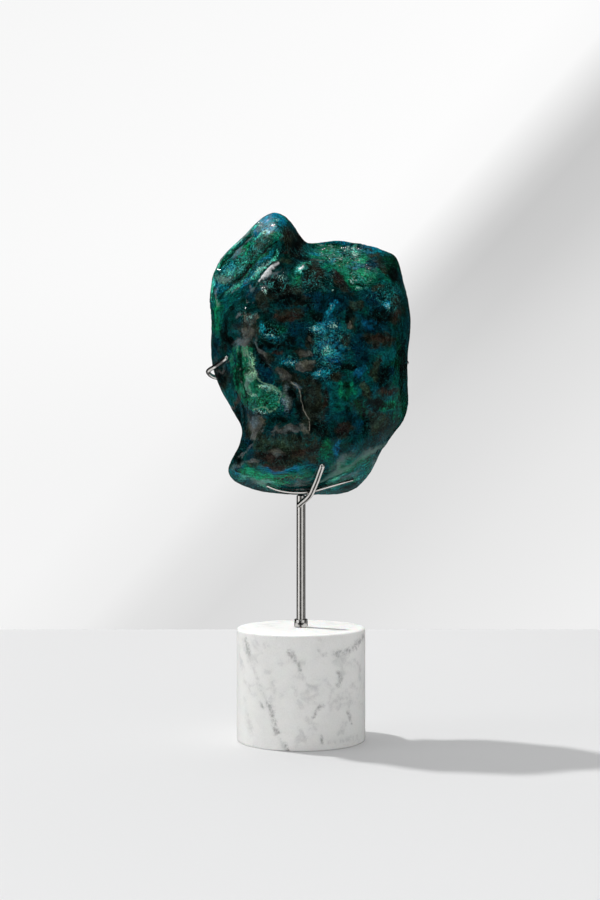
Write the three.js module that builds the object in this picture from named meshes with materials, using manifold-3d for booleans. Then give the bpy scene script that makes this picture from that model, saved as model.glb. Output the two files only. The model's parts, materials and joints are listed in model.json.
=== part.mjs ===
// A polished chrysocolla specimen held by a bent-rod stand on a round marble foot.
// Millimetres, +Z up, X to the right and Y to the back as the stone is seen from its front.
// The origin is the centre of the marble's underside.
import * as THREE from "three";
import { ImprovedNoise } from "three/addons/math/ImprovedNoise.js";
import { mergeVertices } from "three/addons/utils/BufferGeometryUtils.js";
import Module from "manifold-3d";

const wasm = await Module();
wasm.setup();

// Driving dimensions of the stand
const baseRadius = 50;
const baseHeight = 87;
const baseEdgeRadius = 2;
const baseFootChamfer = 1;
const postRadius = 3.5;
const postTop = 189.7;
const postChamfer = 0.5;
const socketDepth = 40;
const fitGap = 0.3;
const collarRadius = 5.2;
const collarHeight = 6;
const collarChamfer = 0.6;
const stayRadius = 2.5;
const prongRadius = 1.95;
const armRadius = 1.7;
const barRadius = 1.4;
const baseSides = 40;
const postSides = 24;
const rodSides = 10;
const rodStep = 3.2;
const tipFullness = 0.98;
const mergeDistance = 1e-4;

// Driving dimensions of the stone
const stoneDetail = 16;
const stoneCentre = { x: 15, z: 275 };
const stoneFrontDepth = 46;
const stoneBackDepth = 42;
const frontFullness = 2.5;
const backFullness = 2.4;
const frontDensity = 0.25;
const rimReach = 10;
const rimSharpness = 3;
const rimStretch = 0.12;
const rimSamples = 6;
const underFullness = 1.2;
const underSpan = [40, 80];
const reliefFade = 0.45;
const browDrop = 10;
const browRoll = 2.5;
const browRollWidth = 7;
const grooveDepth = 2.8;
const grooveWidth = 7;
const shelfFall = 12;
const footFall = 13;
const sideFall = 13;
const backRidgeHeight = 6;
const backRidgeWidth = 20;
const swells = [
  { height: 3.2, length: 26, shift: 0 },
  { height: 1.1, length: 12, shift: 7 },
];

// The stone's outline from the front, anticlockwise from its right side: x, z, and the rim's y there
const stoneOutline = [
  [86, 322, 8],
  [85, 336, 8],
  [79.5, 360, 10],
  [77, 371.5, 12],
  [74.5, 378, 13],
  [67.5, 381.5, 14],
  [55, 385.6, 14],
  [29, 390, 14],
  [14, 388, 12],
  [4.5, 386.8, 8],
  [-3, 395.7, 3],
  [-11, 405.6, 0],
  [-21, 410.5, 0],
  [-30, 405.8, 1],
  [-47.5, 389.8, 4],
  [-57, 381.3, 5],
  [-64, 372.7, 6],
  [-68.6, 363, 6],
  [-71.2, 345, 5],
  [-69.7, 325, 6],
  [-70.5, 303, 8],
  [-69, 290, 9],
  [-66, 279.6, 9],
  [-54, 256.2, 6],
  [-45.5, 242, -7],
  [-47, 229.7, -14],
  [-54, 216.4, -16],
  [-56.4, 210.5, -16],
  [-55, 204.8, -14],
  [-49, 199.5, -10],
  [-33, 193.4, -4],
  [-8.6, 190.4, 1],
  [15, 190.3, 3],
  [33.5, 191.1, 3],
  [43, 195.4, 3],
  [52, 204, 3],
  [64.7, 227.3, 4],
  [78.5, 246, 6],
  [83, 255.4, 7],
  [83.4, 285, 8],
  [83.6, 300, 8],
];

// Small helpers for the relief
const smooth = THREE.MathUtils.smoothstep;
const bell = (distance, width) => Math.exp(-((distance / width) ** 2));

// A smooth line through hand-set [along, across] points, flat beyond its ends
function line(points) {
  return (along) => {
    const last = points.length - 1;
    if (along <= points[0][0]) return points[0][1];
    if (along >= points[last][0]) return points[last][1];
    const i = points.findIndex((p, n) => n < last && along <= points[n + 1][0]);
    const share = (along - points[i][0]) / (points[i + 1][0] - points[i][0]);
    return THREE.MathUtils.lerp(points[i][1], points[i + 1][1], share * share * (3 - 2 * share));
  };
}

// A rounded lump (or, with a negative height, a hollow) at x, z; tilt turns its long axis from X towards Z
function lump(x, z, halfWidth, halfHeight, height, tiltDeg = 0) {
  const turn = THREE.MathUtils.degToRad(tiltDeg);
  return (px, pz) => {
    const along = (px - x) * Math.cos(turn) + (pz - z) * Math.sin(turn);
    const across = (pz - z) * Math.cos(turn) - (px - x) * Math.sin(turn);
    return height * Math.exp(-((along / halfWidth) ** 2) - (across / halfHeight) ** 2);
  };
}

// Relief of the front face, in front of the plain dome: lines that its steps and ridges follow
const browLine = line([
  [-60, 325], [-42, 340], [-29.5, 350.5], [-20, 361], [-4, 364],
  [8, 369], [18, 365], [27, 354], [36, 344], [50, 337], [70, 334],
]);
const grooveLine = line([[-66, 337.5], [-53, 346], [-41, 356.5], [-29.5, 367], [-18, 380]]);
const peakRidge = line([[362, -14.5], [384, -10.5], [399, -13.5], [411, -19]]);
const footRidge = line([
  [-55, 214], [-30, 211.5], [0, 208.5], [20, 210], [34, 216], [55, 226], [74, 236],
]);
const leftRidge = line([[228, -44], [252, -45], [275, -48.5], [300, -53]]);

const peakSwell = lump(-22, 388, 26, 25, 16);
const frontLumps = [
  lump(8, 358, 10, 9, 3.5), // nodules under the brow
  lump(24, 350, 8, 10, 3, 30),
  lump(2, 341, 24, 10, -5), // hollow below them
  lump(-27, 340, 11, 11, 3), // left end of the brow
  lump(-56, 318, 9, 20, -4, 80), // valley beside the left rim
  lump(-35, 320, 10, 20, 4, 95), // ridge that runs down from the brow
  lump(-22, 288, 8, 19, 3.5, 130),
  lump(8, 304, 29, 26, -4.5, 20), // wide hollow in the middle
  lump(25, 300, 11, 14, 3.5), // crust inside it
  lump(-32, 270, 14, 22, 3, 60), // left lobe
  lump(8, 250, 28, 24, 3), // belly
  lump(48, 275, 18, 26, 3, 80), // right side
  lump(58, 308, 18, 15, 3),
  lump(66, 262, 10, 15, -3, 80),
  lump(44, 233, 18, 10, 3, 25),
  lump(52, 360, 18, 10, -3, -10), // shelf at the upper right
  lump(30, 378, 15, 8, 3),
];

function frontRelief(x, z) {
  const aboveBrow = z - browLine(x);
  const onBrow = smooth(x, -74, -54) * (1 - smooth(x, 26, 66));
  const onGroove = 1 - smooth(x, -26, -12);
  const pastPeak = smooth(x - peakRidge(z), -4, 16) * smooth(z, 358, 374);
  const onShelf = smooth(x, -6, 12) * smooth(z, 356, 384);
  const belowFoot = smooth(footRidge(x) - z, -7, 15);
  const onSide = smooth(leftRidge(z) - x, -6, 14) * smooth(z, 222, 246) * (1 - smooth(z, 288, 310));
  const steps = [
    -browDrop * smooth(aboveBrow, -9, 11) * onBrow,
    browRoll * bell(aboveBrow + browRollWidth, browRollWidth) * onBrow,
    -grooveDepth * bell(z - grooveLine(x), grooveWidth) * onGroove,
    peakSwell(x, z) * (1 - pastPeak),
    -shelfFall * onShelf,
    -footFall * belowFoot,
    -sideFall * onSide,
  ];
  const lumps = frontLumps.map((each) => each(x, z));
  return [...steps, ...lumps].reduce((sum, part) => sum + part);
}

// Relief of the back face, which is flatter, with one long ridge and two shallow scoops
const backRidge = line([[190, 30], [260, 22], [330, -12], [410, -24]]);
const backLumps = [
  lump(52, 345, 26, 24, -8, 20), // upper scoop
  lump(-38, 262, 20, 30, -7, 70), // lower scoop
  lump(-30, 345, 22, 20, 5),
  lump(40, 262, 24, 26, 5, 40),
  lump(5, 215, 30, 14, -6),
  lump(60, 300, 9, 16, 3, 100),
  lump(-8, 300, 12, 20, 3, 60),
];

function backRelief(x, z) {
  const ridge = backRidgeHeight * bell(x - backRidge(z), backRidgeWidth);
  return backLumps.reduce((sum, each) => sum + each(x, z), ridge);
}

// Slow unevenness that a tumbled and polished stone keeps all over
const noise = new ImprovedNoise();
function unevenness(x, y, z) {
  return swells.reduce((sum, { height, length, shift }) => {
    return sum + height * noise.noise(x / length + shift, y / length, z / length);
  }, 0);
}

// The rim averaged over a stretch around one point, so that its notches fade out towards the middle
function roundedPoint(rim, round) {
  const sum = new THREE.Vector3();
  for (let step = -rimSamples; step <= rimSamples; step++) {
    sum.add(rim.getPointAt((round + (step / rimSamples) * rimStretch + 2) % 1));
  }
  return sum.divideScalar(2 * rimSamples + 1);
}

// A fine ball spread out to the outline and domed to the front and the back
function stoneGeometry() {
  const rimPoints = stoneOutline.map(([x, z, y]) => new THREE.Vector3(x, y, z));
  const rim = new THREE.CatmullRomCurve3(rimPoints, true, "centripetal");
  const ball = new THREE.IcosahedronGeometry(1, stoneDetail);
  ball.deleteAttribute("normal");
  ball.deleteAttribute("uv");
  const stone = mergeVertices(ball, mergeDistance);
  const position = stone.getAttribute("position");
  for (let i = 0; i < position.count; i++) {
    const direction = new THREE.Vector3().fromBufferAttribute(position, i);
    const round = Math.atan2(direction.z, direction.x) / (2 * Math.PI);
    const edge = rim.getPointAt((round + 1) % 1);
    const inner = roundedPoint(rim, round);
    const polar = Math.acos(THREE.MathUtils.clamp(-direction.y, -1, 1));
    const angle = polar - frontDensity * Math.sin(polar);
    const isFront = angle < Math.PI / 2;
    const under = underFullness * smooth(stoneCentre.z - edge.z, ...underSpan);
    const fullness = (isFront ? frontFullness : backFullness) + under;
    const out = Math.sin(angle);
    const toward = Math.abs(Math.cos(angle));
    const size = (out ** fullness + toward ** fullness) ** (1 / fullness);
    const spread = out / size;
    const dome = toward / size;
    const reach = spread ** rimSharpness;
    const x = stoneCentre.x + (THREE.MathUtils.lerp(inner.x, edge.x, reach) - stoneCentre.x) * spread;
    const z = stoneCentre.z + (THREE.MathUtils.lerp(inner.z, edge.z, reach) - stoneCentre.z) * spread;
    const fade = smooth(dome, 0, reliefFade);
    const relief = isFront ? frontRelief(x, z) : backRelief(x, z);
    const depth = (isFront ? stoneFrontDepth : stoneBackDepth) * dome + relief * fade;
    const y = edge.y * spread ** rimReach + (isFront ? -depth : depth);
    const swell = unevenness(x, y, z) * fade;
    position.setXYZ(i, x, y + (isFront ? -swell : swell), z);
  }
  return stone;
}

// Round bodies of the stand, turned about Z from profiles of radius and height
function turned(profile, sides) {
  const points = profile.map(([r, z]) => new THREE.Vector2(r, z));
  return new THREE.LatheGeometry(points, sides).rotateX(Math.PI / 2);
}

// The marble foot: rounded top edge, small chamfer below, and a blind socket for the post
function baseGeometry() {
  const socketRadius = postRadius + fitGap;
  const socketFloor = baseHeight - socketDepth;
  const foot = [[0, 0], [baseRadius - baseFootChamfer, 0], [baseRadius, baseFootChamfer]];
  const edge = [0, 30, 60, 90].map((deg) => {
    const turn = THREE.MathUtils.degToRad(deg);
    return [
      baseRadius - baseEdgeRadius * (1 - Math.cos(turn)),
      baseHeight - baseEdgeRadius * (1 - Math.sin(turn)),
    ];
  });
  const socket = [[socketRadius, baseHeight], [socketRadius, socketFloor], [0, socketFloor]];
  return turned([...foot, ...edge, ...socket], baseSides);
}

// The collar rings the post where it enters the marble
function collarGeometry() {
  const bore = postRadius + fitGap;
  const top = baseHeight + collarHeight;
  const ring = [
    [bore, baseHeight],
    [collarRadius, baseHeight],
    [collarRadius, top - collarChamfer],
    [collarRadius - collarChamfer, top],
    [bore, top],
    [bore, baseHeight],
  ];
  return turned(ring, postSides);
}

function postGeometry() {
  const bottom = baseHeight - socketDepth + fitGap;
  const profile = [
    [0, bottom],
    [postRadius, bottom],
    [postRadius, postTop - postChamfer],
    [postRadius - postChamfer, postTop],
    [0, postTop],
  ];
  return turned(profile, postSides);
}

// Bent rods, each along hand-set points, with a round tip where it ends free
const prongRoute = [
  [-2.4, -5.4, 181.3], [1.2, -9.4, 184.8], [5, -14.4, 188.2], [7.8, -18.8, 191.8], [9.8, -23, 196.4],
  [12.2, -29.8, 202.4], [14.5, -38.4, 209.2], [16.3, -43.4, 214.4],
];
const barRoute = [
  [-26.8, -20.8, 198.2], [-19.5, -17.2, 195], [-10, -15, 193], [0, -14, 192.6], [8, -13.8, 193.2],
  [15, -16.8, 195.1], [23, -20.2, 197.6], [31, -20.4, 200], [40.5, -17.4, 202.7],
];
const stayRoute = [
  [0, 6.4, 160], [0, 6.5, 169], [0, 10.4, 177], [0, 19, 183.4], [0, 27.6, 189], [0, 33, 197.4],
  [0, 35, 207], [0, 37, 215], [0, 41, 223.5], [0, 45.4, 232], [0, 47, 242], [0, 46.9, 256],
  [0, 46.8, 268], [0, 48.4, 279],
];
const leftArmRoute = [
  [-3.1, 46.2, 270.8], [-12, 42.6, 272], [-20, 39.4, 273.5], [-28, 36.2, 275], [-36, 32.6, 276.5],
  [-44, 30, 278], [-52, 27.6, 279.5], [-58, 25.9, 280.5], [-63, 23.3, 281.6], [-67, 19.8, 282.4],
  [-70.4, 14.6, 283.4], [-72.2, 9.6, 284.9], [-72.8, 5, 286.4], [-71.2, 0.6, 287.7], [-66.6, -5.4, 290],
  [-62.4, -14.2, 292], [-58.8, -23, 293.9], [-55.9, -28.8, 295.5],
];
const rightArmRoute = [
  [3.3, 47.3, 270.8], [14, 51.2, 273], [24, 53.1, 275.5], [34, 51.2, 278], [44, 46.4, 281],
  [54, 41.1, 284], [62, 36.7, 286.5], [70, 32.5, 289], [76, 29.1, 291.3], [81, 25.2, 293.2],
  [84.6, 18.5, 294.5],
];

// Closed solids to join and back again
function solidFrom(geometry) {
  geometry.deleteAttribute("normal");
  geometry.deleteAttribute("uv");
  const merged = mergeVertices(geometry, mergeDistance);
  const vertProperties = new Float32Array(merged.getAttribute("position").array);
  const triVerts = new Uint32Array(merged.getIndex().array);
  return new wasm.Manifold(new wasm.Mesh({ numProp: 3, vertProperties, triVerts }));
}

function geometryFrom(solid) {
  const mesh = solid.getMesh();
  const geometry = new THREE.BufferGeometry();
  geometry.setAttribute("position", new THREE.BufferAttribute(mesh.vertProperties, 3));
  geometry.setIndex(new THREE.BufferAttribute(mesh.triVerts, 1));
  return geometry;
}

function rodGeometry(route, radius, roundEnds) {
  const points = route.map((point) => new THREE.Vector3(...point));
  const path = new THREE.CatmullRomCurve3(points, false, "centripetal");
  const section = new THREE.Shape().absarc(0, 0, radius, 0, 2 * Math.PI);
  const rod = new THREE.ExtrudeGeometry(section, {
    extrudePath: path,
    steps: Math.ceil(path.getLength() / (rodStep * radius)),
    curveSegments: rodSides / 2,
  });
  let solid = solidFrom(rod);
  for (const end of roundEnds) {
    const tip = new THREE.SphereGeometry(radius * tipFullness, rodSides, rodSides / 2);
    const at = path.getPoint(end);
    tip.translate(at.x, at.y, at.z);
    solid = solid.add(solidFrom(tip));
  }
  return geometryFrom(solid);
}

const parts = new THREE.Group();
function add(name, geometry, material) {
  const mesh = new THREE.Mesh(geometry, material);
  mesh.name = name;
  parts.add(mesh);
}

const chrysocolla = new THREE.MeshStandardMaterial({ color: 0x163935, roughness: 0.15, metalness: 0 });
const marble = new THREE.MeshStandardMaterial({ color: 0xe6e6e4, roughness: 0.35, metalness: 0 });
const steel = new THREE.MeshStandardMaterial({ color: 0xb9b6b0, roughness: 0.18, metalness: 1 });

add("stone", stoneGeometry(), chrysocolla);
add("marble_base", baseGeometry(), marble);
add("collar", collarGeometry(), steel);
add("post", postGeometry(), steel);
add("front_prong", rodGeometry(prongRoute, prongRadius, [1]), steel);
add("cradle_bar", rodGeometry(barRoute, barRadius, [0, 1]), steel);
add("back_stay", rodGeometry(stayRoute, stayRadius, [0, 1]), steel);
add("left_arm", rodGeometry(leftArmRoute, armRadius, [1]), steel);
add("right_arm", rodGeometry(rightArmRoute, armRadius, [1]), steel);

export default parts;
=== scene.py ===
import json
import math

import bmesh
import bpy
import numpy as np
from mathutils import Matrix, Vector, noise

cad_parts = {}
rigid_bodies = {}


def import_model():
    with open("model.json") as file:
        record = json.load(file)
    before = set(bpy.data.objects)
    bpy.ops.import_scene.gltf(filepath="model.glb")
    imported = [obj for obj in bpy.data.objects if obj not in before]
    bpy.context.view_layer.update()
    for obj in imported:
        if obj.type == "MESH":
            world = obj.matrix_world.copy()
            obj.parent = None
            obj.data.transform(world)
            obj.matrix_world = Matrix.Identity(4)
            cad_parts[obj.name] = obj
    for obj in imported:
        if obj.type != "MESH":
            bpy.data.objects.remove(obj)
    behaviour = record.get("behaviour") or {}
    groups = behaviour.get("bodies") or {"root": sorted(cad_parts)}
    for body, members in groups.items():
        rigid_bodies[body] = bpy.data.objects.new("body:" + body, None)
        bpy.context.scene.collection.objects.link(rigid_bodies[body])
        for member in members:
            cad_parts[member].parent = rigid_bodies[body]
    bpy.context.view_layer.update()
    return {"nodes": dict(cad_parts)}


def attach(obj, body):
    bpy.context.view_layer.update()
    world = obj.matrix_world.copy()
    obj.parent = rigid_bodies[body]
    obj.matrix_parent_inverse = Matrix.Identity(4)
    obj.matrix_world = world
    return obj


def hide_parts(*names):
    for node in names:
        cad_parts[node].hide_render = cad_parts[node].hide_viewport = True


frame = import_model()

mm = 0.001
scene = bpy.context.scene
print("frame: loaded", len(frame["nodes"]), "nodes")

litGroups = ("chrysocolla", "marble", "steel", "stage")
litPieces = {name: bpy.data.collections.new(name + "Pieces") for name in litGroups}     # for the lights


# helpers for pieces

def newPiece(name, verts, edges=()):
    mesh = bpy.data.meshes.new(name)
    mesh.from_pydata(verts, edges, [])
    piece = bpy.data.objects.new(name, mesh)
    scene.collection.objects.link(piece)
    return piece


def settle(piece, slotName, *nodes):
    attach(piece, "root")
    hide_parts(*nodes)
    litPieces[slotName].objects.link(piece)
    print("piece:", piece.name, len(piece.data.polygons), "faces")


def bakeNodes(piece, tree, values):
    modifier = piece.modifiers.new(tree.name, "NODES")
    modifier.node_group = tree
    for socket in tree.interface.items_tree:
        if socket.in_out == "INPUT" and socket.name in values:
            modifier[socket.identifier] = values[socket.name]
    return bakeModifiers(piece)


def bakeModifiers(piece):
    graph = bpy.context.evaluated_depsgraph_get()
    graph.update()
    evaluated = piece.evaluated_get(graph)
    solid = bpy.data.meshes.new_from_object(evaluated, preserve_all_data_layers=True, depsgraph=graph)
    solid.name = piece.name
    piece.modifiers.clear()
    piece.data = solid
    return piece


def keepField(piece, label, field):      # one number for each point, for a material or a tree to read
    piece.data.attributes.new(label, "FLOAT", "POINT").data.foreach_set("value", field.astype(np.float32))


# helpers for node trees

def plug(tree, node, sockets):           # links a socket, or sets a constant
    for key, value in sockets.items():
        if isinstance(value, bpy.types.NodeSocket):
            tree.links.new(value, node.inputs[key])
        else:
            node.inputs[key].default_value = value


def wire(tree, kind, sockets=None, **settings):
    made = tree.nodes.new(kind)
    for key, value in settings.items():
        setattr(made, key, value)
    plug(tree, made, sockets or {})
    return made


def newTree(name, inputs):
    kinds = {float: "NodeSocketFloat", int: "NodeSocketInt", bpy.types.Material: "NodeSocketMaterial"}
    tree = bpy.data.node_groups.new(name, "GeometryNodeTree")
    tree.interface.new_socket("Geometry", in_out="INPUT", socket_type="NodeSocketGeometry")
    tree.interface.new_socket("Geometry", in_out="OUTPUT", socket_type="NodeSocketGeometry")
    for label, kind in inputs.items():
        tree.interface.new_socket(label, in_out="INPUT", socket_type=kinds[kind])
    return tree, tree.nodes.new("NodeGroupInput").outputs


def endTree(tree, geometry, material):
    realized = wire(tree, "GeometryNodeRealizeInstances", {0: geometry}).outputs[0]
    finished = wire(tree, "GeometryNodeSetMaterial", {0: realized, "Material": material}).outputs[0]
    wire(tree, "NodeGroupOutput", {0: finished})


def named(tree, name):                   # an attribute of the mesh, for a Geometry Nodes tree
    return wire(tree, "GeometryNodeInputNamedAttribute", {"Name": name}, data_type="FLOAT").outputs[0]


def drawn(tree, name):                   # the same, for a material
    return wire(tree, "ShaderNodeAttribute", attribute_name=name).outputs["Fac"]


def calc(tree, operation, a, b=0.0, c=0.0):
    return wire(tree, "ShaderNodeMath", {0: a, 1: b, 2: c}, operation=operation).outputs[0]


def vectorCalc(tree, operation, a, b):
    return wire(tree, "ShaderNodeVectorMath", {0: a, 1: b}, operation=operation).outputs[0]


def scaled(tree, vector, factor):
    return wire(tree, "ShaderNodeVectorMath", {0: vector, "Scale": factor}, operation="SCALE").outputs[0]


def grain(tree, at, scale, detail, roughness=0.55, output=0):      # output 0 is a number, 1 a colour
    made = wire(tree, "ShaderNodeTexNoise", {"Vector": at, "Scale": scale, "Detail": detail,
                                             "Roughness": roughness})
    return made.outputs[output]


def evenGrain(tree, at, *settings):      # grain about zero
    return calc(tree, "SUBTRACT", grain(tree, at, *settings), 0.5)


def warped(tree, at, scale, amount, detail):       # moves the coordinates about by a soft noise
    drift = vectorCalc(tree, "SUBTRACT", grain(tree, at, scale, detail, output=1), (0.5, 0.5, 0.5))
    return vectorCalc(tree, "ADD", at, scaled(tree, drift, amount))


def fade(tree, value, low, high, first=0.0, last=1.0):
    return wire(tree, "ShaderNodeMapRange", {0: value, 1: low, 2: high, 3: first, 4: last},
                interpolation_type="SMOOTHSTEP").outputs[0]


def blendColour(tree, factor, under, over, how="MIX"):
    return wire(tree, "ShaderNodeMix", {0: factor, 6: under, 7: over},
                data_type="RGBA", blend_type=how).outputs[2]


def tinted(tree, colour, tint):
    return blendColour(tree, 1.0, colour, tint, "MULTIPLY")


def paint(red, green, blue):     # a screen colour, 0 to 255, as the linear colour that shaders take
    linear = [((v / 255 + 0.055) / 1.055) ** 2.4 if v > 10 else v / 255 / 12.92 for v in (red, green, blue)]
    return (*linear, 1.0)


def ramp(tree, factor, stops):
    made = wire(tree, "ShaderNodeValToRGB", {0: factor})
    elements = made.color_ramp.elements
    while len(elements) < len(stops):
        elements.new(0.5)
    for element, (place, colour) in zip(elements, stops):
        element.position = place
        element.color = paint(*colour)
    return made.outputs[0]


def greyRamp(tree, factor, stops):
    return ramp(tree, factor, [(place, (tone, tone, tone)) for place, tone in stops])


def newMaterial(name):
    material = bpy.data.materials.new(name)
    material.use_nodes = True
    tree = material.node_tree
    tree.nodes.clear()
    shader = tree.nodes.new("ShaderNodeBsdfPrincipled")
    wire(tree, "ShaderNodeOutputMaterial", {0: shader.outputs[0]})
    place = tree.nodes.new("ShaderNodeTexCoord").outputs["Object"]
    return material, tree, shader, scaled(tree, place, 1 / mm)      # coordinates in millimetres


def feed(tree, shader, **sockets):
    plug(tree, shader, {key.replace("_", " "): value for key, value in sockets.items()})


# camera, level with the foot of the stone; focal and centre are in pixels of a picture of 600 x 900
view = {"aside": -0.8 * mm, "distance": 1150 * mm, "height": 225 * mm, "lens": 59.0, "sensor": 36.0,
        "farthest": 20.0, "focal": 1475.0, "centre": (300.0, 450.0)}

cameraData = bpy.data.cameras.new("camera")
cameraData.lens = view["lens"]
cameraData.sensor_width = view["sensor"]
cameraData.clip_end = view["farthest"]
camera = bpy.data.objects.new("camera", cameraData)
camera.location = (view["aside"], -view["distance"], view["height"])
camera.rotation_euler = (math.radians(90), 0, 0)
scene.collection.objects.link(camera)
scene.camera = camera
print("camera: set")


# helpers for marks placed as the camera sees them
clouds = {"apart": (13.7, 5.3, 9.1), "octaves": 3}       # how far one seed's noise is from the next

def pictureOf(points):       # where the camera sees each point, in picture pixels
    away = view["distance"] + points[:, 1]
    u = view["centre"][0] + view["focal"] * (points[:, 0] - view["aside"]) / away
    v = view["centre"][1] - view["focal"] * (points[:, 2] - view["height"]) / away
    return u, v


def markField(u, v, placed):         # 1 in the middle of a mark, 0 at its edge, below 0 outside
    field = np.full(len(u), -1.0)
    for markU, markV, half, width, *tilt in placed:
        turn = math.radians(sum(tilt))
        along = (u - markU) * math.cos(turn) - (v - markV) * math.sin(turn)
        across = (u - markU) * math.sin(turn) + (v - markV) * math.cos(turn)
        field = np.maximum(field, 1 - np.hypot(along / half, across / width))
    return field


def lineField(u, v, placed):         # the same, for lines of a given half width
    field = np.full(len(u), -1.0)
    for path, width in placed:
        for (u0, v0), (u1, v1) in zip(path, path[1:]):
            length = math.hypot(u1 - u0, v1 - v0)
            part = np.clip(((u - u0) * (u1 - u0) + (v - v0) * (v1 - v0)) / length ** 2, 0, 1)
            away = np.hypot(u - u0 - part * (u1 - u0), v - v0 - part * (v1 - v0))
            field = np.maximum(field, 1 - away / width)
    return field


def softStep(low, high, values):
    part = np.clip((values - low) / (high - low), 0, 1)
    return part * part * (3 - 2 * part)


def cloudField(points, scale, seed):
    offset = Vector([seed * step for step in clouds["apart"]])
    return np.array([noise.fractal(Vector(p) * scale + offset, 1.0, 2.0, clouds["octaves"]) for p in points])


def wander(points, u, v, scale, reach, seed):      # so that no mark keeps a plain outline
    return u + reach * cloudField(points, scale, seed), v + reach * cloudField(points, scale, seed + 1)


def readPoints(piece):       # points, and how squarely each of them faces the camera
    count = len(piece.data.vertices)
    points, normals = np.zeros(count * 3), np.zeros(count * 3)
    piece.data.vertices.foreach_get("co", points)
    piece.data.vertex_normals.foreach_get("vector", normals)
    points, normals = points.reshape(-1, 3), normals.reshape(-1, 3)
    toCamera = np.array(camera.location) - points
    toCamera /= np.linalg.norm(toCamera, axis=1)[:, None]
    return points, (normals * toCamera).sum(axis=1)


# stage: a pale table top with a pale wall behind it
stage = {"tableBack": 0.70, "tableFront": -0.42, "tableWide": 3.0, "tableThick": 0.04,
         "wallAway": 2.4, "wallWide": 4.0, "wallLow": -1.0, "wallHigh": 3.5, "wallThick": 0.05}
# the table is painted darker on the left: painted shade that evens out the brighter light falling there
tableLook = {"tones": [(0.0, 229), (1.0, 234)], "span": (-300.0, 300.0), "rough": 0.5, "gloss": 0.2,
             "mirrored": 0.12}       # tones from left to right over a span in millimetres

# painted light and a painted soft shadow on the glowing wall: bright to the upper left of a slanting soft
# edge, dimmer and rising again beyond it; softer lower down
wallLook = {
    "lean": -0.93, "span": (-1930.0, 860.0), "rise": (150.0, 780.0),
    "high": [(0.0, 247), (0.48, 253), (0.54, 250), (0.60, 208), (0.62, 200), (0.67, 205), (0.76, 222),
             (1.0, 240)],
    "low": [(0.0, 247), (0.48, 245), (0.57, 239), (0.61, 228), (0.67, 219), (0.76, 224), (0.85, 232),
            (1.0, 240)],
}


def paleTable():
    material, tree, shader, at = newMaterial("paleTable")
    across = wire(tree, "ShaderNodeSeparateXYZ", {0: at}).outputs["X"]
    tone = greyRamp(tree, fade(tree, across, *tableLook["span"]), tableLook["tones"])
    mirrored = tree.nodes.new("ShaderNodeLightPath").outputs["Is Glossy Ray"]
    dimmed = calc(tree, "MULTIPLY", mirrored, 1 - tableLook["mirrored"])
    tone = blendColour(tree, dimmed, tone, (0, 0, 0, 1))
    feed(tree, shader, Base_Color=tone, Roughness=tableLook["rough"], Specular_IOR_Level=tableLook["gloss"])
    return material


# the wall glows with its painted light and shadow
def glowingWall():
    material, tree, shader, at = newMaterial("paleWall")
    place = wire(tree, "ShaderNodeSeparateXYZ", {0: at}).outputs
    slant = calc(tree, "MULTIPLY_ADD", place["Z"], wallLook["lean"], place["X"])
    first, last = wallLook["span"]
    beyond = wire(tree, "ShaderNodeMapRange", {0: slant, 1: first, 2: last}).outputs[0]
    low, high = (greyRamp(tree, beyond, wallLook[level]) for level in ("low", "high"))
    glow = blendColour(tree, fade(tree, place["Z"], *wallLook["rise"]), low, high)
    feed(tree, shader, Base_Color=(0, 0, 0, 1), Roughness=1.0, Specular_IOR_Level=0.0,
         Emission_Color=glow, Emission_Strength=1.0)
    return material


def stageBox(name, low, high, material):
    box = bmesh.new()
    bmesh.ops.create_cube(box, size=1.0)
    for vert in box.verts:
        vert.co = [low[i] + (vert.co[i] + 0.5) * (high[i] - low[i]) for i in range(3)]
    piece = newPiece(name, [])
    box.to_mesh(piece.data)
    box.free()
    piece.data.materials.append(material)
    litPieces["stage"].objects.link(piece)
    return piece


stageBox("tableTop", (-stage["tableWide"], stage["tableFront"], -stage["tableThick"]),
         (stage["tableWide"], stage["tableBack"], 0.0), paleTable())
wall = stageBox("wall", (-stage["wallWide"], stage["wallAway"], stage["wallLow"]),
                (stage["wallWide"], stage["wallAway"] + stage["wallThick"], stage["wallHigh"]), glowingWall())
wall.visible_glossy = False      # keeps the stone's outline dark
print("stage: table and wall")


# lights, each by its bearing round the stone and its angle above level; 0 is the camera's side, -90 the left
lights = {
    "key": {"bearing": -118, "above": 69, "away": 1.34, "size": (0.06, 0.06), "power": 10.6},
    "fill": {"bearing": -76, "above": 14, "away": 2.2, "size": (0.9, 0.9), "power": 6.0},
    "rimPanel": {"bearing": -150, "above": 32, "away": 1.6, "size": (0.5, 0.5), "power": 0.5},
    "glint": {"bearing": -112, "above": 66, "away": 1.3, "size": (0.28, 0.28), "power": 2.6},
    "lipPanel": {"bearing": -73, "above": 17, "away": 1.6, "size": (0.5, 0.5), "power": 1.3},
    "marbleKey": {"bearing": -118, "above": 69, "away": 1.34, "size": (0.06, 0.06), "power": 20.0},
    "floorKey": {"bearing": -119, "above": 65, "away": 5.0, "size": (0.22, 0.22), "power": 138.0},
}
notMirrored = ("fill",)                                # no polished face shows it
onlyMirrored = ("rimPanel", "glint", "lipPanel")       # seen in polished faces, and light nothing else
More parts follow.
